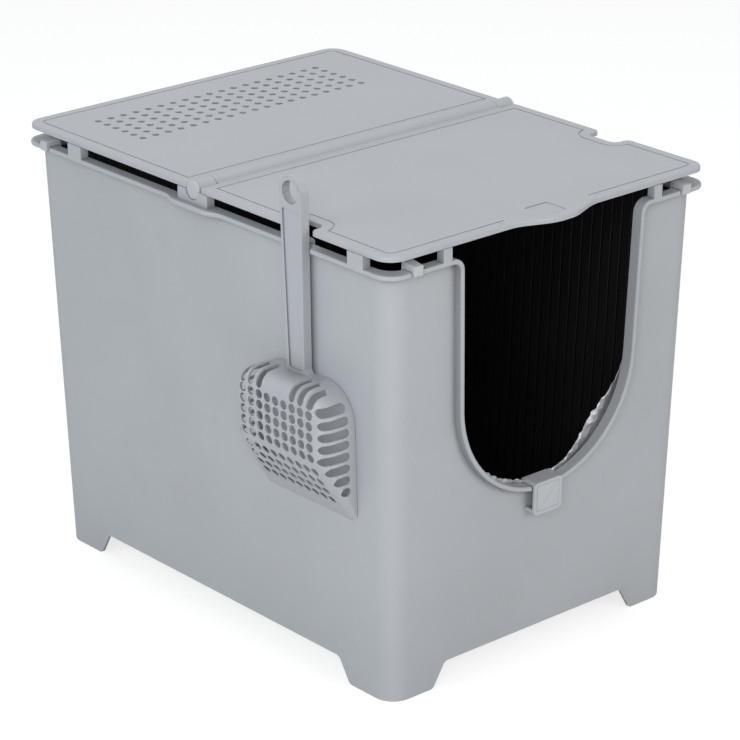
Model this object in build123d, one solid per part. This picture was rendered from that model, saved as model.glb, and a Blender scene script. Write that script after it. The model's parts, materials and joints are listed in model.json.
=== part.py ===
from build123d import *
import math
import os

os.makedirs("parts", exist_ok=True)

# Litter box with two flip-up lids. Millimetres, +Z up, entry side at -Y, origin on
# the ground under the middle of the tub.

# Tub walls and floor
rim_z = 412.0  # top face of the rim
rim_half_x = 185.5  # outer face of the side walls at the rim
rim_half_y = 253.0  # outer face of the end walls at the rim
draft = 1.5  # degrees, the walls close in towards the ground
corner_r = 20.0  # outside radius of the four corners, the same at every height
wall = 2.8
floor_z = 26.0  # underside of the floor
floor_t = 3.0
floor_r = 5.0  # inside, between floor and walls

# Cut-outs in the skirt that leave four corner feet
foot_h = 23.5
foot_end_in = 74.5  # side walls' outer faces at the rim to the end cut-outs' top corners
foot_side_in = 81.0  # the same along the sides
foot_slope = 14.0  # each cut-out widens by this on both sides towards the ground
foot_r = 7.0
foot_tip_r = 6.0  # lower corners of the feet

# Rim flange
rim_w = 8.5  # how far the flange stands out from the wall
rim_t = 4.5
rim_edge_r = 1.6
rim_corner_r = 19.0
rim_skin = 2.2  # thickness of the flange over its hollow underside
handle_gap = 36.0  # width of the gap that the scoop's handle hangs in
gap_r = 3.0  # the flange's ends beside that gap

# Stand-off blocks on the rim that the lids rest on
block_h = 12.0
block_d = 9.3
block_edge_r = 0.8
side_block_l = 20.0
side_block_front_in = 35.5  # front wall to the middle of the front side blocks
side_block_rear_in = 73.0  # rear wall to the middle of the rear side blocks
end_block_w = 10.0
end_block_in = 58.5  # side walls to the middle of the end blocks

# Entry in the front wall
entry_r = 103.0  # radius of the round bottom
entry_drop = 140.0  # centre of the round bottom below the rim
entry_flare = 1.8  # degrees, the straight sides lean outwards
entry_corner_r = 12.0  # where the entry runs out into the rim
lip_t = 4.5
lip_gap = 36.0  # gap in the bottom of the lip for the entry clip

# Lids
rest_gap = 0.2  # air between the blocks and the lids
lid_in = 1.5  # the lids' edges stand this far inside the flange's
lid_t = 4.5
lid_plate_t = 2.6
lid_band = 10.5  # width of the full-thickness border
lid_edge_r = 1.5
lid_inner_r = 3.0  # lid corners beside the hinge
groove_w = 1.2
groove_d = 0.5
notch_d = 17.0
notch_w = 36.0
notch_in_r = 8.0
notch_mouth_r = 6.0
tab_half = 42.0  # finger tab on the front lid
tab_flat = 25.0
tab_out = 18.0
tab_r = 14.0
thumb_l = 28.0
thumb_w = 26.0
thumb_d = 0.6
vent_d = 6.5
vent_sides = 8  # the small round holes are drawn with few sides
vent_columns = 19
vent_rows = 6
vent_pitch_x = 14.9
vent_pitch_y = 13.9
vent_edge = 47.0  # rear edge to the first row

# Hinge
hinge_y = 3.0
hinge_up = 0.3  # axis above the lids' underside
barrel_r = 8.7
ear_l = 18.5
knuckle_gap = 0.5
plate_gap = 0.8  # lid edges to the other lid's barrel
pin_r = 3.0
pin_fit = 0.05
pin_l = 46.0
pin_head_r = 8.75
pin_head_t = 2.5
pin_edge = 0.6  # bevel round the head
head_gap = 0.2
saddle_l = 42.0
saddle_fit = 0.3
swell = 6.0  # the flange swells out round each saddle
swell_flat = 24.0
swell_end = 37.0
swell_r = 20.0

# Liner
liner_t = 1.2
liner_gap = 0.4
liner_drop = 12.0  # the liner's top edge below the rim
liner_up = 4.0  # the liner's edge stands this far into the entry

# Rim clips
clip_w = 10.0
clip_notch = 13.5
clip_t = 2.0
clip_out = 2.0  # the clip stands this far proud of the flange
clip_drop = 3.5  # outer leg below the rim
clip_leg = 28.0  # inner leg below the rim
clip_rise = 5.4  # outer top edge above the rim
clip_peak = 7.4  # inner top edge above the rim
clip_front_in = 23.5  # side walls to the middle of the front clips
clip_rear_in = 27.0  # rear wall to the middle of the rear clips
seat_gap = 0.35  # small gap between a piece and what it sits on

# Entry clip
plate_w = 34.0
plate_h = 32.0
plate_t = 2.3
plate_r = 4.0
strap_t = 3.2
inner_leg = 20.0
web_h = 6.0

# Scoop, hung on the left wall
scoop_in = 113.0  # front wall to the middle of the scoop
basket_top = 118.0  # below the rim
basket_tip = 246.0
basket_crease = 187.0
basket_d = 37.0
basket_half = 63.5
panel_half = 60.0
basket_t = 2.0
shoulder_r = 35.0
panel_shoulder_r = 26.0
tip_r = 8.0
panel_low_r = 16.0
basket_edge_r = 13.0
hole_d = 7.5
hole_pitch = 11.2
hole_columns = 9
panel_rows = 5
row_pitch = 10.1
panel_row_drop = 20.0  # basket top to the first row
slope_rows = 4
slope_pitch = 12.3
slope_row_start = 8.0  # crease to the first row on the slope
side_slots = 8
slot_w = 6.0
slot_pitch = 11.2
slot_start = 8.5
slot_inset = 4.5  # slot end to the panel
top_slot_l = 27.0
top_slot_shift = 3.9
handle_off = 4.0
handle_t = 8.5
neck_w = 23.4
handle_w = 29.2
neck_r = 6.0
rib_w = 3.0
recess_d = 1.4
recess_low = 3.0  # above the basket
recess_end = 32.0  # above the rim
ring_up = 48.0  # centre of the ring above the rim
ring_hole_d = 21.0
hook_w = 18.0
hook_t = 3.0
hook_drop = 8.0

entry_centre_z = rim_z - entry_drop
liner_top = rim_z - liner_drop
scoop_y = scoop_in - rim_half_y
lid_z = rim_z + block_h + rest_gap
lid_top = lid_z + lid_t
lid_half_x = rim_half_x + rim_w - lid_in
lid_half_y = rim_half_y + rim_w - lid_in
hinge_z = lid_z + hinge_up
head_x = lid_half_x + 0.5  # outer face of the pin heads
ear_x1 = head_x - pin_head_t - head_gap
ear_x0 = ear_x1 - ear_l
floor_top = floor_z + floor_t
sill_z = entry_centre_z - entry_r
sill_rise = entry_r - math.sqrt(entry_r**2 - (plate_w / 2) ** 2)  # under the clip's ends
plate_up = sill_rise + seat_gap + strap_t  # top of the entry clip above the sill
through = 2 * (rim_half_x + rim_half_y)


def set_in(z):
    """How far the drafted walls stand inside their rim position at height z."""
    return math.tan(math.radians(draft)) * (rim_z - z)


def drafted(grow, z0, z1):
    """Solid between z0 and z1 whose sides lie grow outside the walls' outer faces."""
    h, top, low = z1 - z0, grow - set_in(z1), grow - set_in(z0)
    x, y, step = rim_half_x + top, rim_half_y + top, top - low
    block = Wedge(2 * x, h, 2 * y, step, step, 2 * x - step, 2 * y - step)
    block = Pos(0, 0, (z0 + z1) / 2) * Rot(-90, 0, 0) * block
    corners = [e for e in block.edges() if abs((e @ 0).Z - (e @ 1).Z) > h / 2]
    return fillet(corners, corner_r + grow)


def rim_plan(grow):
    """Flange outline, swollen outwards round both hinge saddles."""
    edge, out = rim_half_x + grow, rim_half_x + grow + swell
    bulge = Polygon(
        (-out, hinge_y - swell_flat),
        (-edge, hinge_y - swell_end),
        (edge, hinge_y - swell_end),
        (out, hinge_y - swell_flat),
        (out, hinge_y + swell_flat),
        (edge, hinge_y + swell_end),
        (-edge, hinge_y + swell_end),
        (-out, hinge_y + swell_flat),
        align=None,
    )
    plan = RectangleRounded(2 * edge, 2 * (rim_half_y + grow), rim_corner_r + grow - rim_w)
    plan += bulge
    bends = [
        v for v in plan.vertices()
        if abs(v.X) > edge - 0.01 and abs(v.Y - hinge_y) < swell_end + 0.01
    ]
    return fillet(bends, swell_r)


def on_wall(out, along, z):
    """Plane on a wall's outer face at height z: x outwards, z up the drafted wall."""
    out = Vector(*out)
    side = Vector(0, 0, 1).cross(out)
    half = rim_half_x if abs(out.X) > 0.5 else rim_half_y
    a = math.radians(draft)
    return Plane(
        origin=out * (half - set_in(z)) + side * along + Vector(0, 0, z),
        x_dir=out * math.cos(a) - Vector(0, 0, math.sin(a)),
        z_dir=out * math.sin(a) + Vector(0, 0, math.cos(a)),
    )


def entry_outline(grow):
    """Front view of the entry, x and z, grown by grow and run out into the rim."""
    a, r = math.radians(entry_flare), entry_r + grow
    low, top = entry_centre_z - r * math.sin(a), rim_z + block_h
    half = r * math.cos(a)
    wide = half + (top - low) * math.tan(a)
    rim = rim_z - grow
    shape = Pos(0, entry_centre_z) * Circle(r)
    shape += Polygon((-half, low), (half, low), (wide, top), (-wide, top), align=None)
    shape += Pos(0, (rim + top) / 2) * Rectangle(2 * wide + 6 * entry_corner_r, top - rim)
    corners = [v for v in shape.vertices() if abs(v.Y - rim) < 0.01 and abs(v.X) < wide]
    return fillet(corners, entry_corner_r - grow)


def entry_prism(grow):
    start = Plane.XZ.offset(rim_half_y / 2)
    return extrude(start * entry_outline(grow), rim_half_y)


def outer_loop(part, reach):
    """Edges round the faces that look outwards and lie beyond the walls."""
    faces = [
        f for f in part.faces()
        if abs(f.normal_at().Z) < 0.2
        and f.normal_at().X * f.center().X + f.normal_at().Y * f.center().Y > 0
        and (abs(f.center().X) > rim_half_x + reach - set_in(f.center().Z)
             or abs(f.center().Y) > rim_half_y + reach - set_in(f.center().Z))
    ]
    edges = [e for f in faces for e in f.edges()]
    return [e for e in edges if sum(e.is_same(other) for other in edges) == 1]


# Tub --------------------------------------------------------------------------


def tub_shell():
    """Walls, floor and hollow skirt."""
    cavity = drafted(-wall, floor_top, rim_z + 1)
    cavity = fillet(cavity.faces().sort_by(Axis.Z)[0].edges(), floor_r)
    return drafted(0, 0, rim_z) - cavity - drafted(-wall, -1, floor_z)


def skirt_cut(half, plane):
    """Opening under one pair of walls, wider at the ground, that leaves round-ended feet."""
    wide = half + foot_slope
    shape = Polygon((-wide, 0), (wide, 0), (half, foot_h), (-half, foot_h), align=None)
    shape = fillet(shape.vertices().group_by(Axis.Y)[-1], foot_r)
    shape += Pos(0, -foot_tip_r / 2) * Rectangle(2 * wide + 6 * foot_tip_r, foot_tip_r)
    tips = [v for v in shape.vertices() if abs(v.Y) < 0.01 and abs(v.X) < wide + 0.01]
    return extrude(plane * fillet(tips, foot_tip_r), through, both=True)


def handle_gaps(grow):
    """Gaps in the flange on both sides for the scoop's handle, grown by grow."""
    edge = rim_half_x + rim_w
    shape = Pos(0, scoop_y) * Rectangle(2 * edge, handle_gap + 2 * grow)
    for x in (-edge - rim_w, edge + rim_w):
        shape += Pos(x, scoop_y) * Rectangle(2 * rim_w, handle_gap + 2 * grow + 6 * gap_r)
    mouths = [
        v for v in shape.vertices()
        if abs(abs(v.Y - scoop_y) - handle_gap / 2 - grow) < 0.01
    ]
    return extrude(Pos(0, 0, rim_z) * fillet(mouths, gap_r - grow), 2 * rim_t, both=True)


def rim_collar():
    """Flange round the rim and lip round the entry, one rolled edge."""
    bottom = rim_z - rim_t
    flange = extrude(Pos(0, 0, rim_z) * rim_plan(rim_w), rim_t, dir=(0, 0, -1), taper=draft)
    hollow = extrude(Pos(0, 0, bottom - 1) * rim_plan(rim_w - rim_skin), rim_t + 1 - rim_skin)
    lip = entry_prism(lip_t) & drafted(rim_w, floor_z, rim_z)
    collar = flange + lip - entry_prism(0)
    collar = fillet(outer_loop(collar, rim_w - 1), rim_edge_r)
    keep = entry_prism(lip_t) + drafted(0, 0, rim_z) + handle_gaps(rim_skin)
    collar -= handle_gaps(0) - drafted(0, 0, rim_z + 1)
    return collar - (hollow - keep) - drafted(-wall, 0, rim_z + 1)


def clip_seats():
    """Where the four clips sit: outward direction and place along the wall."""
    return {
        "rim_clip_front_left": ((0, -1, 0), clip_front_in - rim_half_x),
        "rim_clip_front_right": ((0, -1, 0), rim_half_x - clip_front_in),
        "rim_clip_rear_left": ((-1, 0, 0), clip_rear_in - rim_half_y),
        "rim_clip_rear_right": ((1, 0, 0), rim_half_y - clip_rear_in),
    }


def clip_notches():
    back = rim_w - clip_t - seat_gap
    cuts = Part()
    for out, along in clip_seats().values():
        notch = Pos(back + rim_w, 0, 0) * Box(2 * rim_w, clip_notch, 4 * rim_t)
        cuts += on_wall(out, along, rim_z) * notch
    return cuts


def rim_block(out, along, length):
    """Stand-off block, flush with the flange's outer face."""
    h = block_h + rim_t / 2
    block = Box(block_d, length, h)
    block = fillet(block.edges().filter_by(Axis.Z), block_edge_r)
    place = Plane(origin=on_wall(out, along, rim_z).origin, x_dir=Vector(*out), z_dir=(0, 0, 1))
    return place * Pos(rim_w - block_d / 2, 0, block_h - h / 2) * block


def saddles():
    """The two hinge blocks, each with a round seat for a barrel end."""
    left = rim_block((-1, 0, 0), -hinge_y, saddle_l)
    right = rim_block((1, 0, 0), hinge_y, saddle_l)
    seat_r = max(barrel_r, pin_head_r) + saddle_fit
    seat = Pos(0, hinge_y, hinge_z) * Rot(0, 90, 0) * Cylinder(seat_r, through)
    return left + right - seat


def rim_blocks():
    blocks = saddles()
    for x, out in ((-1, (-1, 0, 0)), (1, (1, 0, 0))):
        for y in (side_block_front_in - rim_half_y, rim_half_y - side_block_rear_in):
            blocks += rim_block(out, x * y, side_block_l)
    for out in ((0, -1, 0), (0, 1, 0)):
        for x in (end_block_in - rim_half_x, rim_half_x - end_block_in):
            blocks += rim_block(out, x, end_block_w)
    return blocks


def make_tub():
    tub = tub_shell() - entry_prism(0)
    tub -= skirt_cut(rim_half_x - foot_end_in, Plane.XZ)
    tub -= skirt_cut(rim_half_y - foot_side_in, Plane.YZ)
    tub += rim_collar()
    tub -= clip_notches()
    lip_cut = Pos(rim_w, 0, 0) * Box(2 * rim_w, lip_gap, 4 * lip_t)
    tub -= on_wall((0, -1, 0), 0, sill_z) * lip_cut
    return tub + rim_blocks()


# Liner ------------------------------------------------------------------------


def make_liner():
    """Fabric lining of the tub, open at the top and round the entry."""
    out = -wall - liner_gap
    low = floor_top + liner_gap
    outer = drafted(out, low, liner_top)
    outer = fillet(outer.faces().sort_by(Axis.Z)[0].edges(), floor_r)
    inner = drafted(out - liner_t, low + liner_t, liner_top + 1)
    inner = fillet(inner.faces().sort_by(Axis.Z)[0].edges(), floor_r - liner_t)
    clip_room = Pos(0, -rim_half_y, sill_z + liner_up) * Box(lip_gap, rim_half_y, 4 * liner_up)
    return outer - inner - entry_prism(-liner_up) - clip_room


# Lids -------------------------------------------------------------------------


def lid_outline(side):
    """Plan of the flat part of a lid; side is -1 at the front and 1 at the rear."""
    near = hinge_y + side * (barrel_r + plate_gap)
    far = side * lid_half_y
    plan = Pos(0, (near + far) / 2) * Rectangle(2 * lid_half_x, abs(far - near))
    outer = [v for v in plan.vertices() if abs(v.Y - far) < 0.01]
    plan = fillet(outer, rim_corner_r - lid_in)
    inner = [v for v in plan.vertices() if abs(v.Y - near) < 0.01]
    return fillet(inner, lid_inner_r)


def notch_cut(side):
    """Round-cornered notch in the lid's side edge for the scoop's handle."""
    edge = side * lid_half_x
    cut = Pos(edge, scoop_y) * Rectangle(2 * notch_d, notch_w)
    inner = [v for v in cut.vertices() if abs(v.X) < lid_half_x]
    return fillet(inner, notch_in_r)


def front_outline():
    """Front lid with its two notches and the finger tab."""
    plan = lid_outline(-1)
    edge = -lid_half_y
    tab = Polygon(
        (-tab_half, edge), (-tab_flat, edge - tab_out), (tab_flat, edge - tab_out), (tab_half, edge),
        align=None,
    )
    plan += tab
    bends = [v for v in plan.vertices() if abs(v.X) < tab_half + 0.01 and v.Y < edge + 0.01]
    plan = fillet(bends, tab_r)
    plan -= notch_cut(-1) + notch_cut(1)
    mouths = [
        v for v in plan.vertices()
        if abs(abs(v.X) - lid_half_x) < 0.01 and abs(abs(v.Y - scoop_y) - notch_w / 2) < 0.01
    ]
    return fillet(mouths, notch_mouth_r)


def lid_panel(plan):
    """Plate with a thick border, a rounded upper edge and a fine groove on top."""
    panel = extrude(Pos(0, 0, lid_z) * plan, lid_t)
    panel = fillet(panel.faces().sort_by(Axis.Z)[-1].edges(), lid_edge_r)
    inside = offset(plan, -lid_band)
    panel -= extrude(Pos(0, 0, lid_z) * inside, lid_t - lid_plate_t)
    groove = offset(plan, -lid_band) - offset(plan, -lid_band - groove_w)
    return panel - extrude(Pos(0, 0, lid_top) * groove, -groove_d)


def barrel(x0, x1):
    return Pos((x0 + x1) / 2, hinge_y, hinge_z) * Rot(0, 90, 0) * Cylinder(barrel_r, x1 - x0)


def pin_bore():
    bore = Cylinder(pin_r + pin_fit, 2 * (pin_l + 1 + head_gap))
    bore = Rot(0, 90, 0) * bore
    return Pos(-ear_x1, hinge_y, hinge_z) * bore + Pos(ear_x1, hinge_y, hinge_z) * bore


def web(x0, x1, side):
    """Flat piece that joins a lid's plate to its barrel."""
    reach = barrel_r + plate_gap + lid_band / 2
    y = hinge_y + side * reach / 2
    return Pos((x0 + x1) / 2, y, (lid_z + lid_top) / 2) * Box(x1 - x0, reach, lid_t)


def small_hole(d):
    """Outline of a small round hole of diameter d."""
    turn = 180 / vent_sides
    return Rot(0, 0, turn) * RegularPolygon(d / 2, vent_sides)


def make_front_lid():
    half = ear_x0 - knuckle_gap
    lid = lid_panel(front_outline())
    thumb = RectangleRounded(thumb_l, thumb_w, 3)
    thumb = Pos(-3, -lid_half_y + thumb_w / 2 - 3, lid_top) * thumb
    lid -= extrude(thumb, -thumb_d)
    lid += web(-half, half, -1) + barrel(-half, half)
    return lid - pin_bore()


def make_rear_lid():
    lid = lid_panel(lid_outline(1))
    for x0, x1 in ((-ear_x1, -ear_x0), (ear_x0, ear_x1)):
        lid += web(x0, x1, 1) + barrel(x0, x1)
    lid -= pin_bore()
    first = lid_half_y - vent_edge
    hole = small_hole(vent_d)
    vents = GridLocations(vent_pitch_x, vent_pitch_y, vent_columns, vent_rows) * hole
    centre = Pos(0, first - (vent_rows - 1) * vent_pitch_y / 2, lid_z)
    return lid - extrude(centre * Sketch(vents), lid_t)


def make_hinge_pin(side):
    """Pin with a flat head; it runs through a lid ear into the other lid's barrel."""
    shank_end = ear_x1 - pin_l
    pin = Pos(0, 0, (shank_end + head_x) / 2) * Cylinder(pin_r, head_x - shank_end)
    head = Pos(0, 0, head_x - pin_head_t / 2) * Cylinder(pin_head_r, pin_head_t)
    head = chamfer(head.edges().group_by(Axis.Z)[-1], pin_edge)
    pin += head
    return Pos(0, hinge_y, hinge_z) * Rot(0, side * 90, 0) * pin


# Clips ------------------------------------------------------------------------


def make_rim_clip(out, along):
    """Bent clip over the rim: outer leg, sloping strap, inner leg against the liner."""
    face = rim_w + clip_out
    inner = -wall - liner_gap - liner_t - seat_gap
    shape = Polygon(
        (face, -clip_drop),
        (face, clip_rise),
        (inner, clip_peak),
        (inner - clip_t, clip_peak - clip_t),
        (inner - clip_t, -clip_leg),
        (inner, -clip_leg),
        (inner, seat_gap),
        (rim_w - clip_t, seat_gap),
        (rim_w - clip_t, -clip_drop),
        align=None,
    )
    clip = extrude(Plane.XZ * shape, clip_w / 2, both=True)
    return on_wall(out, along, rim_z) * clip


def make_entry_clip():
    """Clip over the sill: face plate, strap, inner leg and a web back to the wall."""
    face = rim_w + plate_t + seat_gap
    inner = -wall - liner_gap - liner_t - seat_gap
    low = plate_up - plate_h
    shape = Polygon(
        (face, low),
        (face, plate_up),
        (inner - clip_t, plate_up),
        (inner - clip_t, -inner_leg),
        (inner, -inner_leg),
        (inner, plate_up - strap_t),
        (face - plate_t, plate_up - strap_t),
        (face - plate_t, low + web_h),
        (seat_gap, low + web_h),
        (seat_gap, low + 1),
        (seat_gap + 1, low),
        align=None,
    )
    clip = extrude(Plane.XZ * shape, plate_w / 2, both=True)
    outline = Pos(0, (plate_up + low) / 2) * RectangleRounded(plate_w, plate_h, plate_r)
    room = extrude(Plane.YZ.offset(seat_gap / 2) * outline, 2 * face)
    room += Pos(-2 * face + seat_gap, 0, 0) * Box(4 * face, plate_w, 4 * plate_h)
    return on_wall((0, -1, 0), 0, sill_z) * (clip & room)


# Scoop, made with x out from the wall and z up from the rim ---------------------


def basket_section(off, inset, round_in=0.0):
    """Front outline of the basket at a distance off the wall, set in by both insets."""
    f, g = off / basket_d, inset + round_in
    half = basket_half + f * (panel_half - basket_half) - g
    low = -basket_tip + f * (basket_tip - basket_crease) + g
    top = -basket_top - g
    shape = Pos(0, (top + low) / 2) * Rectangle(2 * half, top - low)
    upper_r = shoulder_r + f * (panel_shoulder_r - shoulder_r) - g
    lower_r = tip_r + f * (panel_low_r - tip_r) - g
    shape = fillet(shape.vertices().group_by(Axis.Y)[-1], upper_r)
    shape = fillet(shape.vertices().group_by(Axis.Y)[0], lower_r)
    return Plane.YZ.offset(off) * shape


def basket_block(inset, start):
    """Solid of the basket: straight flaring walls, then a quarter round to the panel."""
    r, depth = basket_edge_r - inset, basket_d - inset
    flat = depth - r - start
    sections = [basket_section(start + flat * k / 3, inset) for k in range(4)]
    for k in (1, 2, 3):
        a = math.pi / 6 * k
        sections.append(
            basket_section(depth - r + r * math.sin(a), inset, r * (1 - math.cos(a)))
        )
    return loft(sections)


def slope_frame():
    """Plane on the sloping lower panel at the crease: y across, x down the slope."""
    drop, run = basket_tip - basket_crease, basket_d
    return Plane(
        origin=(basket_d, 0, -basket_crease), x_dir=(-run, 0, -drop), z_dir=(drop, 0, -run)
    )


def basket_holes():
    """Round holes of the front panel and the slope, and the slots of sides and top."""
    across = hole_pitch
    middle = -basket_top - panel_row_drop - (panel_rows - 1) * row_pitch / 2
    panel = Plane(origin=(basket_d, 0, middle), x_dir=(0, 1, 0), z_dir=(1, 0, 0))
    hole = small_hole(hole_d)
    front = GridLocations(across, row_pitch, hole_columns, panel_rows) * hole
    cuts = extrude(panel * Sketch(front), 3 * basket_t, both=True)
    centre = Pos(slope_row_start + (slope_rows - 1) * slope_pitch / 2, 0, 0)
    low = GridLocations(slope_pitch, across, slope_rows, hole_columns) * hole
    return cuts + extrude(slope_frame() * centre * Sketch(low), 3 * basket_t, both=True)


def side_slot_cuts():
    cuts = Part()
    for i in range(side_slots):
        z = -basket_top - panel_row_drop + slot_w / 2 - i * slot_pitch
        edge = basket_d * min(1, (basket_tip + z) / (basket_tip - basket_crease))
        inset = slot_inset if edge == basket_d else slot_inset + basket_t + 1
        length = max(edge - inset - slot_start, slot_w + 0.2)
        slot = Pos(slot_start + length / 2, z) * SlotOverall(length, slot_w)
        cuts += extrude(Plane.XZ * slot, 2 * basket_half, both=True)
    return cuts


def top_slot_cuts():
    """Slots that run from the front panel over the shoulder, each side of the neck."""
    cuts = Part()
    for k in (2, 3, 4):
        for side in (-1, 1):
            plane = Plane(
                origin=(basket_d, side * k * hole_pitch, -basket_top),
                x_dir=(-1, 0, 1), z_dir=(1, 0, 1),
            )
            slot = Pos(top_slot_shift, 0) * SlotOverall(top_slot_l, slot_w)
            cuts += extrude(plane * slot, basket_d / 2, both=True)
    return cuts


def handle_blank():
    """Flat handle with its ring, from the basket's top up past the rim."""
    top, low = -basket_top, -basket_top - basket_t
    bar = Polygon(
        (-neck_w / 2, low), (neck_w / 2, low), (handle_w / 2, ring_up), (-handle_w / 2, ring_up),
        align=None,
    )
    shape = bar + Pos(0, (top + low) / 2) * Rectangle(neck_w + 6 * neck_r, basket_t)
    necks = [v for v in shape.vertices() if abs(v.Y - top) < 0.01 and abs(v.X) < handle_w / 2]
    shape = fillet(necks, neck_r) + Pos(0, ring_up) * Circle(handle_w / 2)
    shape -= Pos(0, ring_up) * Circle(ring_hole_d / 2)
    return extrude(Plane.YZ.offset(handle_off) * shape, handle_t)


def handle_recess():
    """Shallow panel in the handle's face that leaves a rib along each side."""
    low = -basket_top + recess_low
    half0, half1 = neck_w / 2 - rib_w, handle_w / 2 - rib_w
    shape = Polygon(
        (-half0, low), (half0, low), (half1, recess_end), (-half1, recess_end), align=None
    )
    shape = fillet(shape.vertices(), 2)
    return extrude(Plane.YZ.offset(handle_off + handle_t) * shape, -recess_d)


def scoop_hook():
    """Hook behind the handle that drops over the wall."""
    inner = -wall - seat_gap
    top = Box(handle_off + hook_t - inner, hook_w, hook_t + 1)
    top = Pos((handle_off + inner) / 2, 0, seat_gap + (hook_t + 1) / 2) * top
    leg = Box(hook_t, hook_w, hook_drop + hook_t)
    leg = Pos(inner - hook_t / 2, 0, (hook_t - hook_drop) / 2) * leg
    return top + leg


def make_scoop():
    basket = basket_block(0, seat_gap) - basket_block(basket_t, -1)
    basket -= basket_holes() + side_slot_cuts() + top_slot_cuts()
    handle = handle_blank() - basket_block(basket_t, -1)
    scoop = basket + handle + scoop_hook() - handle_recess()
    return on_wall((-1, 0, 0), -scoop_y, rim_z) * scoop


nodes = {
    "tub": make_tub(),
    "liner": make_liner(),
    "front_lid": make_front_lid(),
    "rear_lid": make_rear_lid(),
    "hinge_pin_left": make_hinge_pin(-1),
    "hinge_pin_right": make_hinge_pin(1),
    "entry_clip": make_entry_clip(),
    "scoop": make_scoop(),
}
for name, (out, along) in clip_seats().items():
    nodes[name] = make_rim_clip(out, along)

for name, part in nodes.items():
    part.label = name
    export_step(part, f"parts/{name}.step")
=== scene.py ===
import json
import math

import bmesh
import bpy
from mathutils import Matrix, Vector, noise


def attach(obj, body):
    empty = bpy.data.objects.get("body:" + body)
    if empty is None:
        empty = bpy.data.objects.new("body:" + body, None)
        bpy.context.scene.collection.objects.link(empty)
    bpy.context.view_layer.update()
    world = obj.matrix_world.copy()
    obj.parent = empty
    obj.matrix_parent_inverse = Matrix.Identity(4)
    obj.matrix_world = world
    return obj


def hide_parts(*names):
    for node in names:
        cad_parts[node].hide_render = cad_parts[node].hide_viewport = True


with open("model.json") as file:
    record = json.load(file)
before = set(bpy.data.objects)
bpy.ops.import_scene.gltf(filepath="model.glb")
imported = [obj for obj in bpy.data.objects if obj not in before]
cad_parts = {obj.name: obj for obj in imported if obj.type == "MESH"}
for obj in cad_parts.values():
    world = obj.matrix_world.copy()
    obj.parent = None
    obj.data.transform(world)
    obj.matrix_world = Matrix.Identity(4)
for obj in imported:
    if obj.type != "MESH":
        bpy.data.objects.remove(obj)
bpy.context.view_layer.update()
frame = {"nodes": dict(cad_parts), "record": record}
nodes = frame["nodes"]


# Camera ---------------------------------------------------------------------------
# A long lens looks down on the left front corner of the box from about three
# metres away.
def in_scene(name, data):
    """New object in the scene."""
    made = bpy.data.objects.new(name, data)
    bpy.context.scene.collection.objects.link(made)
    return made


cam_data = bpy.data.cameras.new("studio_camera")
cam = in_scene("studio_camera", cam_data)
bpy.context.scene.camera = cam
cam_data.lens = 153.48
cam_data.sensor_width = 36.0
azimuth, elevation, roll = (math.radians(a) for a in (-41.0777, 21.8041, -0.1863))
cam_back = Vector((
    math.sin(azimuth) * math.cos(elevation),
    -math.cos(azimuth) * math.cos(elevation),
    math.sin(elevation),
))
cam_right = Vector((math.cos(azimuth), math.sin(azimuth), 0))
cam_up = cam_back.cross(cam_right)
cam_x = cam_right * math.cos(roll) + cam_up * math.sin(roll)
cam_y = cam_up * math.cos(roll) - cam_right * math.sin(roll)
cam.matrix_world = Matrix.Translation((-1.8221, -2.1049, 1.3159)) @ (
    Matrix((cam_x, cam_y, cam_back)).transposed().to_4x4()
)


# Lights ---------------------------------------------------------------------------
# Four large soft boxes and an even, pale room. What looks straight at the room
# sees white.
def soft_box(name, place, aim, width, height, watts, tint=(1, 1, 1)):
    """Large rectangular lamp that faces its aim."""
    data = bpy.data.lights.new(name, "AREA")
    data.shape, data.size, data.size_y, data.energy = "RECTANGLE", width, height, watts
    data.color = tint
    lamp = in_scene(name, data)
    lamp.location = place
    lamp.rotation_euler = (Vector(aim) - Vector(place)).to_track_quat("-Z", "Y").to_euler()


def put_node(tree, kind, values=None, **settings):
    """New node with its settings and the values of its inputs."""
    made = tree.nodes.new(kind)
    for name, value in settings.items():
        setattr(made, name, value)
    for name, value in (values or {}).items():
        made.inputs[name].default_value = value
    return made


def wire(tree, *joints):
    """Joins nodes; a joint is a node, its output, the next node and its input."""
    for source, output, target, entry in joints:
        tree.links.new(source.outputs[output], target.inputs[entry])


soft_box("overhead_box", (0.3, 0.5, 2.4), (0, 0, 0.3), 1.6, 1.6, 15)
soft_box("left_box", (-2.5, 0.3, 1.1), (0, 0, 0.2), 1.4, 1.4, 18, (0.90, 0.96, 1.0))
soft_box("key_box", (-2.0, -1.8, 1.5), (0, 0, 0.2), 1.2, 1.2, 30)
soft_box("front_box", (0.5, -2.7, 1.2), (0, 0, 0.2), 1.6, 1.4, 22, (1.0, 0.98, 0.94))

room = bpy.data.worlds.new("studio_room")
bpy.context.scene.world = room
room.use_nodes = True
tree = room.node_tree
tree.nodes.clear()
even = put_node(tree, "ShaderNodeBackground", {"Color": (0.94, 0.97, 1.0, 1), "Strength": 0.40})
seen = put_node(tree, "ShaderNodeBackground", {"Color": (1, 1, 1, 1), "Strength": 1.0})
rays = put_node(tree, "ShaderNodeLightPath")
direct = put_node(tree, "ShaderNodeMath", operation="MAXIMUM")
through = put_node(tree, "ShaderNodeMath", operation="MAXIMUM")
pick = put_node(tree, "ShaderNodeMixShader")
out = put_node(tree, "ShaderNodeOutputWorld")
wire(tree,
     (rays, "Is Camera Ray", direct, 0), (rays, "Is Glossy Ray", direct, 1),
     (direct, 0, through, 0), (rays, "Is Transmission Ray", through, 1),
     (through, 0, pick, "Fac"), (even, 0, pick, 1), (seen, 0, pick, 2),
     (pick, 0, out, "Surface"))


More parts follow.
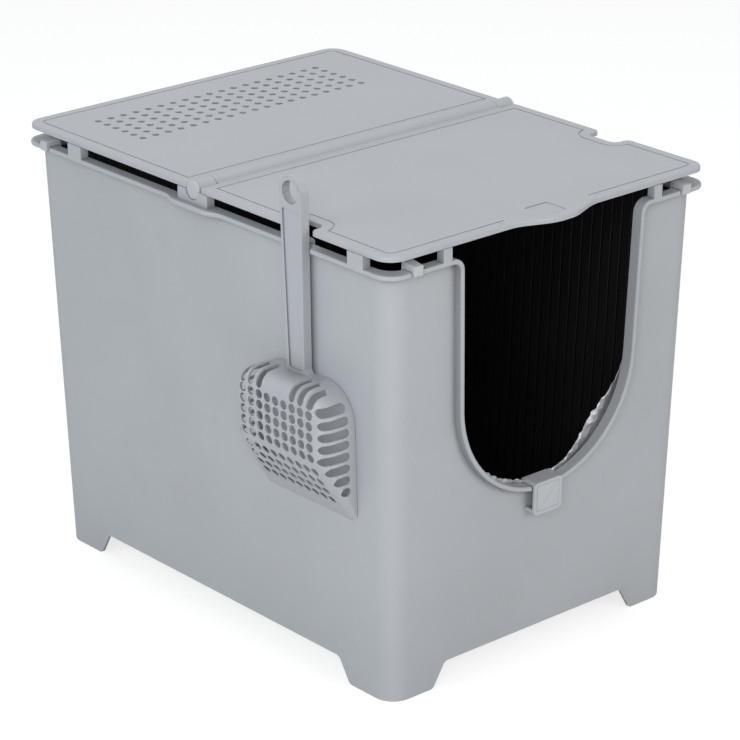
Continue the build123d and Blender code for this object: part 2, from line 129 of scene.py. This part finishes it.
# Floor ----------------------------------------------------------------------------
# White sweep of paper that keeps a faint shadow under the box. It glows a little, but
# only for what looks straight at it, so it throws no extra light on the box.
sweep_r = 9.0
sweep_mesh = bpy.data.meshes.new("paper_sweep")
sweep = in_scene("paper_sweep", sweep_mesh)
bm = bmesh.new()
bmesh.ops.create_circle(bm, cap_ends=True, radius=sweep_r, segments=96)
bm.to_mesh(sweep_mesh)
bm.free()
paper = bpy.data.materials.new("white_paper")
paper.use_nodes = True
tree = paper.node_tree
tree.nodes.clear()
rays = put_node(tree, "ShaderNodeLightPath")
direct = put_node(tree, "ShaderNodeMath", operation="MAXIMUM")
matt = put_node(tree, "ShaderNodeBsdfDiffuse", {"Color": (0.80, 0.80, 0.80, 1)})
thin = put_node(tree, "ShaderNodeBsdfDiffuse", {"Color": (0.36, 0.36, 0.36, 1)})
glow = put_node(tree, "ShaderNodeEmission", {"Strength": 0.76})
lit = put_node(tree, "ShaderNodeAddShader")
pick = put_node(tree, "ShaderNodeMixShader")
out = put_node(tree, "ShaderNodeOutputMaterial")
wire(tree,
     (thin, 0, lit, 0), (glow, 0, lit, 1),
     (rays, "Is Camera Ray", direct, 0), (rays, "Is Transmission Ray", direct, 1),
     (direct, 0, pick, "Fac"), (matt, 0, pick, 1), (lit, 0, pick, 2),
     (pick, 0, out, "Surface"))
sweep_mesh.materials.append(paper)


# Tub ------------------------------------------------------------------------------
# One injection moulding of polypropylene in a light cool grey: walls, floor, feet and
# rim. It is satin, with the fine spark grain of the mould and faint flow variation in
# tone and gloss. Shade is painted darker into its creases.
wall_half_x, wall_half_y, wall_top_z = 0.1855, 0.253, 0.412
wall_corner_r, wall_draft = 0.020, math.radians(1.5)
entry_r, entry_mid_z, entry_flare = 0.103, 0.272, math.radians(1.8)


def moulded_plastic(name, colour, rough, grain):
    """Satin moulded plastic with shade painted into its creases; grain is the depth of the
    mould's texture in metres.
    """
    mat = bpy.data.materials.new(name)
    mat.use_nodes = True
    tree = mat.node_tree
    shader = tree.nodes["Principled BSDF"]
    shader.inputs["Specular IOR Level"].default_value = 0.42
    shader.inputs["IOR"].default_value = 1.49
    where = put_node(tree, "ShaderNodeTexCoord")
    flow = put_node(tree, "ShaderNodeTexNoise", {"Scale": 7.0, "Detail": 3.0})
    speck = put_node(tree, "ShaderNodeTexNoise", {"Scale": 900.0, "Detail": 2.0})
    pits = put_node(tree, "ShaderNodeTexNoise", {"Scale": 2100.0, "Detail": 1.0})
    tone = put_node(tree, "ShaderNodeValToRGB")
    for stop, place, share in zip(tone.color_ramp.elements, (0.35, 0.68), (0.965, 1.03)):
        stop.position = place
        stop.color = (*[c * share for c in colour], 1)
    fleck = put_node(tree, "ShaderNodeMix", {0: 0.12}, data_type="RGBA", blend_type="MULTIPLY")
    # Painted shade: the piece's own ambient occlusion darkens the base colour in its creases,
    # hollows and gaps.
    painted_crease_shade = put_node(tree, "ShaderNodeAmbientOcclusion", {"Distance": 0.045},
                      samples=6, only_local=True)
    depth = put_node(tree, "ShaderNodeMapRange", {
        "From Min": 0.15, "From Max": 0.85, "To Min": 0.34, "To Max": 1.0,
    })
    painted_shade_mix = put_node(tree, "ShaderNodeMix", {0: 1.0}, data_type="RGBA", blend_type="MULTIPLY")
    gloss = put_node(tree, "ShaderNodeMapRange", {"To Min": rough - 0.05, "To Max": rough + 0.06})
    bump = put_node(tree, "ShaderNodeBump", {"Distance": grain, "Strength": 0.6})
    wire(tree,
         (where, "Object", flow, "Vector"), (where, "Object", speck, "Vector"),
         (where, "Object", pits, "Vector"), (flow, "Fac", tone, "Fac"),
         (tone, "Color", fleck, 6), (speck, "Fac", fleck, 7), (painted_crease_shade, "AO", depth, "Value"),
         (fleck, 2, painted_shade_mix, 6), (depth, "Result", painted_shade_mix, 7), (painted_shade_mix, 2, shader, "Base Color"),
         (flow, "Fac", gloss, "Value"), (gloss, "Result", shader, "Roughness"),
         (pits, "Fac", bump, "Height"), (bump, "Normal", shader, "Normal"))
    return mat


def dress(node, material):
    """Gives a CAD node one material."""
    mesh = nodes[node].data
    mesh.materials.clear()
    mesh.materials.append(material)


box_grey = moulded_plastic("box_grey_plastic", (0.418, 0.433, 0.456), 0.42, 0.00003)
dress("tub", box_grey)


# Liner ----------------------------------------------------------------------------
# Lining of thin laminated film: black with pressed ribs inside, silvery outside. One
# sheet folded into a bag that the clips hold to the rim; its edge stands up crinkled
# round the entry.
def walls_plan(grow, z):
    """Points round the tub's walls at height z, grow outside their outer faces."""
    slip = math.tan(wall_draft) * (wall_top_z - z)
    half_x, half_y = wall_half_x + grow - slip, wall_half_y + grow - slip
    r = wall_corner_r + grow
    points = []
    for cx, cy, turn in ((1, 1, 0), (-1, 1, 90), (-1, -1, 180), (1, -1, 270)):
        for k in range(9):
            a = math.radians(turn + 90 * k / 8)
            points.append(Vector((
                cx * (half_x - r) + r * math.cos(a), cy * (half_y - r) + r * math.sin(a), z
            )))
    # The straight walls are split finely enough for the film to lie in soft waves.
    straight = {8: 62, 17: 84, 26: 62, 35: 84}
    loop = []
    for i, (a, b) in enumerate(zip(points, points[1:] + points[:1])):
        parts = straight.get(i, 1)
        loop += [a.lerp(b, k / parts) for k in range(parts)]
    return loop


def entry_depth(x, z):
    """How far a point of the front wall lies inside the round-bottomed entry."""
    if z > entry_mid_z:
        return entry_r + math.tan(entry_flare) * (z - entry_mid_z) - abs(x)
    return entry_r - math.hypot(x, z - entry_mid_z)


def lean(x, z):
    """How far the lining leans in off the front wall beside the entry's right side."""
    near = max(0.0, 1 - abs(math.atan2(z - entry_mid_z, x) + 0.72) / 0.62)
    edge = max(0.0, min(1.0, (entry_depth(x, z) + 0.030) / 0.036))
    return 0.0085 * near * near * (3 - 2 * near) * edge * edge


rib_pitch = 0.0125
film_black = bpy.data.materials.new("film_black_ribbed")
film_black.use_nodes = True
tree = film_black.node_tree
shader = tree.nodes["Principled BSDF"]
shader.inputs["Specular IOR Level"].default_value = 0.35
where = put_node(tree, "ShaderNodeTexCoord")
apart = put_node(tree, "ShaderNodeSeparateXYZ")
along = put_node(tree, "ShaderNodeMath", operation="ADD")
ribs = put_node(tree, "ShaderNodeMath", {1: 2 * math.pi / rib_pitch}, operation="MULTIPLY")
wave = put_node(tree, "ShaderNodeMath", operation="COSINE")
ridge = put_node(tree, "ShaderNodeMapRange", {"From Min": 0.80, "From Max": 1.0})
weave = put_node(tree, "ShaderNodeTexNoise", {"Scale": 420.0, "Detail": 3.0})
patch = put_node(tree, "ShaderNodeTexNoise", {"Scale": 9.0})
matt = put_node(tree, "ShaderNodeMapRange", {"To Min": 0.38, "To Max": 0.62})
ink = put_node(tree, "ShaderNodeMix", data_type="RGBA")
ink.inputs[6].default_value = (0.0105, 0.0105, 0.0112, 1)
ink.inputs[7].default_value = (0.0010, 0.0010, 0.0011, 1)
height = put_node(tree, "ShaderNodeMath", {1: 0.35}, operation="MULTIPLY_ADD")
bump = put_node(tree, "ShaderNodeBump", {"Distance": 0.0008, "Strength": 0.9}, invert=True)
wire(tree,
     (where, "Object", apart, 0), (apart, "X", along, 0), (apart, "Y", along, 1),
     (along, 0, ribs, 0), (ribs, 0, wave, 0), (wave, 0, ridge, "Value"),
     (where, "Object", weave, "Vector"), (where, "Object", patch, "Vector"),
     (patch, "Fac", matt, "Value"), (matt, "Result", shader, "Roughness"),
     (ridge, "Result", ink, 0), (ink, 2, shader, "Base Color"),
     (weave, "Fac", height, 0), (ridge, "Result", height, 2),
     (height, 0, bump, "Height"), (bump, "Normal", shader, "Normal"))

film_silver = bpy.data.materials.new("film_silver_crinkled")
film_silver.use_nodes = True
tree = film_silver.node_tree
shader = tree.nodes["Principled BSDF"]
shader.inputs["Metallic"].default_value = 0.6
where = put_node(tree, "ShaderNodeTexCoord")
crumple = put_node(tree, "ShaderNodeTexVoronoi", {"Scale": 170.0})
soft = put_node(tree, "ShaderNodeTexNoise", {"Scale": 60.0, "Detail": 5.0})
foil = put_node(tree, "ShaderNodeValToRGB")
foil.color_ramp.elements[0].color = (0.20, 0.21, 0.225, 1)
foil.color_ramp.elements[1].color = (0.52, 0.53, 0.56, 1)
matt = put_node(tree, "ShaderNodeMapRange", {"To Min": 0.28, "To Max": 0.52})
height = put_node(tree, "ShaderNodeMath", operation="ADD")
bump = put_node(tree, "ShaderNodeBump", {"Distance": 0.0008})
wire(tree,
     (where, "Object", crumple, "Vector"), (where, "Object", soft, "Vector"),
     (soft, "Fac", foil, "Fac"), (foil, "Color", shader, "Base Color"),
     (soft, "Fac", matt, "Value"), (matt, "Result", shader, "Roughness"),
     (crumple, "Distance", height, 0), (soft, "Fac", height, 1),
     (height, 0, bump, "Height"), (bump, "Normal", shader, "Normal"))

# The bag: rings of film from its top edge down the walls, closed by its bottom.
film_top, film_low, film_levels = 0.400, 0.0297, 56
film_off_wall, film_thick = 0.0034, 0.0009
rear_wall_y, front_wall_y = 0.2, -0.235
bm = bmesh.new()
rings = []
for level in range(film_levels + 1):
    z = film_top + (film_low - film_top) * level / film_levels
    ring = []
    for p in walls_plan(-film_off_wall, z):
        inward = Vector((-p.x, -p.y, 0)).normalized()
        loose = 0.5 + 0.5 * noise.noise(p * 11.0)
        fold = max(0.0, 1 - abs(p.z - 0.33 + 0.55 * (p.x - 0.02)) / 0.012)
        at_rear = 1.0 if p.y > rear_wall_y else 0.0
        give = 0.0016 * loose + 0.0035 * fold * at_rear
        if p.y < front_wall_y:
            inward, give = Vector((0, 1, 0)), lean(p.x, p.z)
            give += 0.0007 * (1 + noise.noise(p * 90.0)) * (entry_depth(p.x, p.z) > -0.012)
        ring.append(bm.verts.new(p + inward * give))
    rings.append(ring)
for upper, lower in zip(rings, rings[1:]):
    for k in range(len(upper)):
        bm.faces.new((upper[k], upper[k - 1], lower[k - 1], lower[k]))
bm.faces.new(rings[-1])
bmesh.ops.recalc_face_normals(bm, faces=bm.faces)
film_mesh = bpy.data.meshes.new("lining_film")
bm.to_mesh(film_mesh)
bm.free()
film = in_scene("lining_film", film_mesh)
film_mesh.materials.append(film_silver)
film_mesh.materials.append(film_black)
thick = film.modifiers.new("thickness", "SOLIDIFY")
thick.thickness = film_thick
thick.offset = -1.0
thick.material_offset = 1
thick.material_offset_rim = 1

# The mouth cut round the entry: its wavy edge leaves a strip of film standing.
mouth_half_x, mouth_top_z = 0.110, 0.43
mouth_front_y, mouth_deep = -0.28, 0.09
edge = []
for k in range(181):
    a = math.pi * (1 + k / 180)
    stand = -0.002 - 0.006 * math.sin(a) + 0.002 * noise.noise(Vector((k * 0.35, 0, 3)))
    stand += 0.0045 * max(0.0, 1 - abs(a - math.tau + 0.70) / 0.55)
    edge.append(((entry_r - stand) * math.cos(a), entry_mid_z + (entry_r - stand) * math.sin(a)))
edge += [(mouth_half_x, mouth_top_z), (-mouth_half_x, mouth_top_z)]
bm = bmesh.new()
bm.faces.new([bm.verts.new((x, mouth_front_y, z)) for x, z in edge])
bmesh.ops.triangulate(bm, faces=bm.faces[:])
grown = bmesh.ops.extrude_face_region(bm, geom=bm.faces[:])
for v in grown["geom"]:
    if isinstance(v, bmesh.types.BMVert):
        v.co.y += mouth_deep
bmesh.ops.recalc_face_normals(bm, faces=bm.faces)
for f in bm.faces:
    f.material_index = 1
mouth_mesh = bpy.data.meshes.new("lining_mouth_cutter")
bm.to_mesh(mouth_mesh)
bm.free()
mouth = in_scene("lining_mouth_cutter", mouth_mesh)
cut = film.modifiers.new("mouth", "BOOLEAN")
cut.operation, cut.solver, cut.object = "DIFFERENCE", "EXACT", mouth


def make_plain(piece):
    """Turns a piece's modifiers into plain mesh."""
    graph = bpy.context.evaluated_depsgraph_get()
    made = bpy.data.meshes.new_from_object(piece.evaluated_get(graph))
    piece.modifiers.clear()
    piece.data = made


make_plain(film)
film.data.shade_smooth()
bpy.data.objects.remove(mouth)
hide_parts("liner")
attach(film, "tub")


# Rim clips and entry clip ---------------------------------------------------------
# Moulded plastic clips, pushed down over the rim and the entry's lip to hold the
# lining's edge. Their corners are broken by a small radius, and the entry clip's plate
# has a fine line inside its edge.
bodies = frame["record"]["behaviour"]["bodies"]


def finished(node, material):
    """New piece with a CAD node's merged mesh, flat faces in one."""
    mesh = nodes[node].data.copy()
    bm = bmesh.new()
    bm.from_mesh(mesh)
    bmesh.ops.remove_doubles(bm, verts=bm.verts, dist=2e-6)
    bmesh.ops.dissolve_limit(bm, angle_limit=math.radians(0.5), verts=bm.verts, edges=bm.edges)
    bm.to_mesh(mesh)
    bm.free()
    mesh.materials.clear()
    mesh.materials.append(material)
    piece = in_scene(node + "_piece", mesh)
    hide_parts(node)
    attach(piece, next(b for b, held in bodies.items() if node in held))
    return piece


def smooth_curves(piece, over=30):
    """Shades the curved faces smooth and leaves the flat ones flat."""
    smallest_flat = 0.0001
    piece.data.shade_smooth()
    piece.data.set_sharp_from_angle(angle=math.radians(over))
    for f in piece.data.polygons:
        f.use_smooth = f.area < smallest_flat
    even = piece.modifiers.new("flat_faces_first", "WEIGHTED_NORMAL")
    even.mode, even.weight, even.keep_sharp = "FACE_AREA", 100, True
    make_plain(piece)


def break_corners(piece, width, over=35):
    """Rounds the edges that turn by more than a given angle."""
    bevel = piece.modifiers.new("broken_corners", "BEVEL")
    bevel.width, bevel.segments = width, 2
    bevel.limit_method, bevel.angle_limit = "ANGLE", math.radians(over)
    make_plain(piece)
    smooth_curves(piece, 50)


clip_grey = moulded_plastic("clip_grey_plastic", (0.475, 0.490, 0.515), 0.36, 0.00002)
for name in ("rim_clip_front_left", "rim_clip_front_right", "rim_clip_rear_left",
             "rim_clip_rear_right"):
    break_corners(finished(name, clip_grey), 0.0005)

line_from_edge, line_side, line_bottom = 0.0028, 0.0004, 0.0005
entry_clip = finished("entry_clip", clip_grey)
bm = bmesh.new()
bm.from_mesh(entry_clip.data)
plate = max((f for f in bm.faces if f.normal.y < -0.9), key=lambda f: f.calc_area())
bmesh.ops.inset_region(bm, faces=[plate], thickness=line_from_edge, use_even_offset=True)
bmesh.ops.inset_region(bm, faces=[plate], thickness=line_side, depth=-0.0006)
bmesh.ops.inset_region(bm, faces=[plate], thickness=line_bottom)
bmesh.ops.inset_region(bm, faces=[plate], thickness=line_side, depth=0.0005)
bm.to_mesh(entry_clip.data)
bm.free()
break_corners(entry_clip, 0.0007, over=60)


# Hinge pins -----------------------------------------------------------------------
# Two moulded pins with flat round heads. Each is pushed in from its own side, through
# an ear of the rear lid and into the front lid's barrel.
for name in ("hinge_pin_left", "hinge_pin_right"):
    break_corners(finished(name, clip_grey), 0.0003, over=30)


# Front lid ------------------------------------------------------------------------
# Moulded lid with the long middle barrel of the hinge. Its finger tab swells out of the
# front edge in one soft curve, and the fine groove on top stops either side of it.
def swelling(x, half, flat, out, r):
    """How far a tab with rounded corners stands out at x."""
    x = abs(x)
    slope = math.atan2(out, half - flat)
    reach = r * math.tan(slope / 2)
    if x >= half + reach:
        return 0.0
    if x > half - reach * math.cos(slope):
        return r - math.sqrt(r * r - (half + reach - x) ** 2)
    if x > flat + reach * math.cos(slope):
        return (half - x) * math.tan(slope)
    if x > flat - reach:
        return out - r + math.sqrt(r * r - (x - flat + reach) ** 2)
    return out


# Half width, half of the flat front, reach and corner radius of the tab, in mm: as it
# comes, and softened.
tab_plain, tab_soft = (42, 25, 18, 14), (46, 12, 14, 45)
tab_root_y, lid_front_y = -0.2395, -0.2445
tab_slice, tab_slices, blend = 0.002, 30, 0.010
groove_deep, groove_y, groove_half_gap = 0.0005, -0.2515, 52
lid_grey = moulded_plastic("lid_grey_plastic", (0.42, 0.437, 0.467), 0.36, 0.00003)
front_lid = finished("front_lid", lid_grey)
bm = bmesh.new()
bm.from_mesh(front_lid.data)
for k in range(-tab_slices, tab_slices + 1):
    near = [f for f in bm.faces if min(v.co.y for v in f.verts) < tab_root_y]
    around = {g for f in near for g in (*f.verts, *f.edges, f)}
    bmesh.ops.bisect_plane(
        bm, geom=list(around), plane_co=(k * tab_slice, 0, 0), plane_no=(1, 0, 0), dist=1e-7
    )
lid_top = max(v.co.z for v in bm.verts if v.co.y < -0.2)
for v in bm.verts:
    if v.co.y > tab_root_y or abs(v.co.x) > tab_slices * tab_slice + 0.0005:
        continue
    x = v.co.x * 1000
    was, now = swelling(x, *tab_plain), swelling(x, *tab_soft)
    share = max(0.0, min(1.0, (-v.co.y + lid_front_y - was / 1000) / blend))
    on_groove_floor = abs(v.co.z - lid_top + groove_deep) < 0.0001
    if on_groove_floor and v.co.y > groove_y - was / 1000 and abs(x) < groove_half_gap:
        v.co.z = lid_top
    v.co.y += share * (was - now) / 1000
bm.to_mesh(front_lid.data)
bm.free()
smooth_curves(front_lid)


# Rear lid -------------------------------------------------------------------------
# Moulded lid with six rows of small round vents whose rims are broken. Its two ears
# turn on the hinge pins, either side of the front lid's barrel.
def grid_of_holes():
    """Node tree that cuts a grid of round holes through a piece."""
    tree = bpy.data.node_groups.new("grid_of_holes", "GeometryNodeTree")
    inputs = {}
    for name, kind in (
        ("Piece", "NodeSocketGeometry"), ("Columns", "NodeSocketInt"), ("Rows", "NodeSocketInt"),
        ("Column pitch", "NodeSocketFloat"), ("Row pitch", "NodeSocketFloat"),
        ("Diameter", "NodeSocketFloat"), ("Depth", "NodeSocketFloat"),
        ("Centre", "NodeSocketVector"), ("Turn", "NodeSocketVector"),
        ("Finish", "NodeSocketMaterial"),
    ):
        socket = tree.interface.new_socket(name, in_out="INPUT", socket_type=kind)
        inputs[name] = socket.identifier
    tree.interface.new_socket("Piece", in_out="OUTPUT", socket_type="NodeSocketGeometry")
    given = put_node(tree, "NodeGroupInput")
    result = put_node(tree, "NodeGroupOutput")
    grid = put_node(tree, "GeometryNodeMeshGrid")
    for count, pitch, size in (
        ("Columns", "Column pitch", "Size X"), ("Rows", "Row pitch", "Size Y"),
    ):
        gaps = put_node(tree, "ShaderNodeMath", {1: 1.0}, operation="SUBTRACT")
        span = put_node(tree, "ShaderNodeMath", operation="MULTIPLY")
        wire(tree, (given, count, gaps, 0), (gaps, 0, span, 0), (given, pitch, span, 1),
             (span, 0, grid, size))
    half = put_node(tree, "ShaderNodeMath", {1: 0.5}, operation="MULTIPLY")
    drill = put_node(tree, "GeometryNodeMeshCylinder", {"Vertices": 20})
    set_out = put_node(tree, "GeometryNodeInstanceOnPoints")
    drills = put_node(tree, "GeometryNodeRealizeInstances")
    turn = put_node(tree, "FunctionNodeEulerToRotation")
    put = put_node(tree, "GeometryNodeTransform")
    bore = put_node(tree, "GeometryNodeMeshBoolean", operation="DIFFERENCE", solver="EXACT")
    whole = put_node(tree, "GeometryNodeRealizeInstances")
    coat = put_node(tree, "GeometryNodeSetMaterial")
    wire(tree,
         (given, "Columns", grid, "Vertices X"), (given, "Rows", grid, "Vertices Y"),
         (given, "Diameter", half, 0), (half, 0, drill, "Radius"),
         (given, "Depth", drill, "Depth"), (grid, "Mesh", set_out, "Points"),
         (drill, "Mesh", set_out, "Instance"), (set_out, "Instances", drills, "Geometry"),
         (given, "Turn", turn, 0), (drills, "Geometry", put, "Geometry"),
         (given, "Centre", put, "Translation"), (turn, 0, put, "Rotation"),
         (given, "Piece", bore, "Mesh 1"), (put, "Geometry", bore, "Mesh 2"),
         (bore, "Mesh", whole, "Geometry"), (whole, "Geometry", coat, "Geometry"),
         (given, "Finish", coat, "Material"), (coat, "Geometry", result, 0))
    return tree, inputs


holes_tree, holes_inputs = grid_of_holes()


def drill_grid(piece, columns, rows, pitches, diameter, depth, centre, turn, finish):
    """Cuts a grid of round holes into a piece."""
    made = piece.modifiers.new("holes", "NODES")
    made.node_group = holes_tree
    for name, value in (
        ("Columns", columns), ("Rows", rows), ("Column pitch", pitches[0]),
        ("Row pitch", pitches[1]), ("Diameter", diameter), ("Depth", depth),
        ("Centre", centre), ("Turn", turn), ("Finish", finish),
    ):
        made[holes_inputs[name]] = value


def cut_along(bm, sides, clear_outer=False):
    """Splits a mesh along planes, and may clear what lies outside them."""
    for point, normal in sides:
        bmesh.ops.bisect_plane(
            bm, geom=[*bm.verts, *bm.edges, *bm.faces], plane_co=point, plane_no=normal,
            dist=1e-7, clear_outer=clear_outer,
        )


# The middle of the plate is taken out and put back with the vents drilled in it.
field_half_x, field_y0, field_y1 = 0.152, 0.129, 0.228
vent_columns, vent_rows, vent_pitches, vent_d = 19, 6, (0.0149, 0.0139), 0.0068
vent_x, vent_y = -0.0065, 0.1785
field_sides = (
    ((-field_half_x, 0, 0), (-1, 0, 0)), ((field_half_x, 0, 0), (1, 0, 0)),
    ((0, field_y0, 0), (0, -1, 0)), ((0, field_y1, 0), (0, 1, 0)),
)
rear_lid = finished("rear_lid", lid_grey)
bm = bmesh.new()
bm.from_mesh(rear_lid.data)
cut_along(bm, field_sides)
field = [
    f for f in bm.faces
    if abs(f.calc_center_median().x) < field_half_x
    and field_y0 < f.calc_center_median().y < field_y1
]
plate_low = min(v.co.z for f in field for v in f.verts)
plate_top = max(v.co.z for f in field for v in f.verts)
bmesh.ops.delete(bm, geom=field, context="FACES")
bm.to_mesh(rear_lid.data)
bm.free()

vented_mesh = bpy.data.meshes.new("vented_plate")
vented = in_scene("vented_plate", vented_mesh)
spare = 0.01
bm = bmesh.new()
bmesh.ops.create_cube(bm, size=1.0, matrix=(
    Matrix.Translation((0, (field_y0 + field_y1) / 2, (plate_low + plate_top) / 2))
    @ Matrix.Diagonal((
        2 * field_half_x + spare, field_y1 - field_y0 + spare, plate_top - plate_low, 1
    ))
))
bm.to_mesh(vented_mesh)
bm.free()
vented_mesh.materials.append(lid_grey)
drill_grid(vented, vent_columns, vent_rows, vent_pitches, vent_d, 0.02,
           (vent_x, vent_y, plate_top), (0, 0, 0), lid_grey)
make_plain(vented)
break_corners(vented, 0.0004, over=60)
bm = bmesh.new()
bm.from_mesh(vented.data)
cut_along(bm, field_sides, clear_outer=True)
bm.from_mesh(rear_lid.data)
bm.to_mesh(rear_lid.data)
bm.free()
bpy.data.objects.remove(vented)
smooth_curves(rear_lid)


# Scoop ----------------------------------------------------------------------------
# Moulded sifting scoop that hangs by its hook on the left wall. Its round holes and
# slots have soft rims, and the edges of its handle are rounded.
scoop_y = -0.140
on_left_wall = Matrix((
    (-math.cos(wall_draft), 0, -math.sin(wall_draft), -wall_half_x),
    (0, -1, 0, scoop_y),
    (-math.sin(wall_draft), 0, math.cos(wall_draft), wall_top_z),
    (0, 0, 0, 1),
))

# Sizes on the wall, in metres: x off the wall, z up from the top of the wall.
panel_x, panel_low_z, slope_fall = 0.037, -0.187, 0.059
handle_low_z, eye_z, eye_outer_r = -0.118, 0.048, 0.0141
hole_d, hole_pitch, drill_long = 0.0086, 0.0112, 0.010
slot_w, slot_count, top_slot_w = 0.0084, 8, 0.0076


def slot_cutter(bm, place, length, width, depth):
    """Round-ended bar along its own x, as deep as given along its own z."""
    ring = []
    for k in range(24):
        a = math.tau * (k + 0.5) / 24 - math.pi / 2
        end = (length - width) / 2 * (1 if k < 12 else -1)
        ring.append((end + width / 2 * math.cos(a), width / 2 * math.sin(a)))
    low = [bm.verts.new(place @ Vector((x, y, -depth / 2))) for x, y in ring]
    top = [bm.verts.new(place @ Vector((x, y, depth / 2))) for x, y in ring]
    bm.faces.new(top)
    bm.faces.new(low[::-1])
    for k in range(24):
        n = (k + 1) % 24
        bm.faces.new((low[k], low[n], top[n], top[k]))


def axes(origin, x, y, z):
    """Place on the left wall with its own three directions."""
    return on_left_wall @ Matrix((
        (x[0], y[0], z[0], origin[0]), (x[1], y[1], z[1], origin[1]),
        (x[2], y[2], z[2], origin[2]), (0, 0, 0, 1),
    ))


scoop_grey = moulded_plastic("scoop_grey_plastic", (0.42, 0.435, 0.46), 0.34, 0.00002)
scoop = finished("scoop", scoop_grey)
bm = bmesh.new()
bm.from_mesh(scoop.data)
to_wall = on_left_wall.inverted()
rim = []
for e in bm.edges:
    m = to_wall @ ((e.verts[0].co + e.verts[1].co) / 2)
    half = 0.0117 + 0.0029 * (m.z - handle_low_z) / (eye_z - handle_low_z)
    if m.z > eye_z:
        outside = math.hypot(m.y, m.z - eye_z) > eye_outer_r
    else:
        outside = abs(m.y) > half - 0.0004
    if outside and m.x > 0.0123 and m.z > -0.111:
        rim.append(e)
bmesh.ops.bevel(bm, geom=rim, offset=0.0015, segments=3, affect="EDGES", clamp_overlap=True)
bm.to_mesh(scoop.data)
bm.free()

# Cutters for the slots down both sides and for the three over each shoulder.
bm = bmesh.new()
for i in range(slot_count):
    z = -0.1346 - hole_pitch * i
    end = 0.0352
    if z <= panel_low_z:
        end = panel_x * (slope_fall - panel_low_z + z) / slope_fall - 0.0045
    start = 0.0070
    length = max(end - start, 0.0090)
    for side in (-1, 1):
        slot_cutter(bm, axes((start + length / 2, side * 0.0605, z), (1, 0, 0), (0, 0, 1),
                             (0, -1, 0)), length, slot_w, 0.020)
root = math.sqrt(0.5)
for k in (2, 3, 4):
    for side in (-1, 1):
        place = axes((panel_x, side * k * hole_pitch, handle_low_z), (-root, 0, root),
                     (0, 1, 0), (-root, 0, -root))
        slot_cutter(bm, place @ Matrix.Translation((0.0039, 0, 0)), 0.028, top_slot_w, 0.037)
bmesh.ops.recalc_face_normals(bm, faces=bm.faces)
slots_mesh = bpy.data.meshes.new("slot_cutters")
bm.to_mesh(slots_mesh)
bm.free()
slots = in_scene("slot_cutters", slots_mesh)
cut = scoop.modifiers.new("slots", "BOOLEAN")
cut.operation, cut.solver, cut.object = "DIFFERENCE", "EXACT", slots

# Nine columns of holes: five rows in the panel, four more down the slope below it.
panel_turn = on_left_wall.to_3x3() @ Matrix(((0, 0, 1), (1, 0, 0), (0, 1, 0)))
drill_grid(scoop, 9, 5, (hole_pitch, 0.0101), hole_d, drill_long,
           on_left_wall @ Vector((panel_x, 0, -0.1582)), panel_turn.to_euler(), scoop_grey)
fall = Vector((-panel_x, 0, -slope_fall)).normalized()
slope_turn = on_left_wall.to_3x3() @ Matrix((
    (0, fall.x, fall.z), (1, 0, 0), (0, fall.z, -fall.x),
))
drill_grid(scoop, 9, 4, (hole_pitch, 0.0123), hole_d, drill_long,
           on_left_wall @ (Vector((panel_x, 0, panel_low_z)) + fall * 0.02645),
           slope_turn.to_euler(), scoop_grey)
make_plain(scoop)
bpy.data.objects.remove(slots)
break_corners(scoop, 0.0005, over=40)

bpy.context.scene.view_settings.view_transform = "Standard"
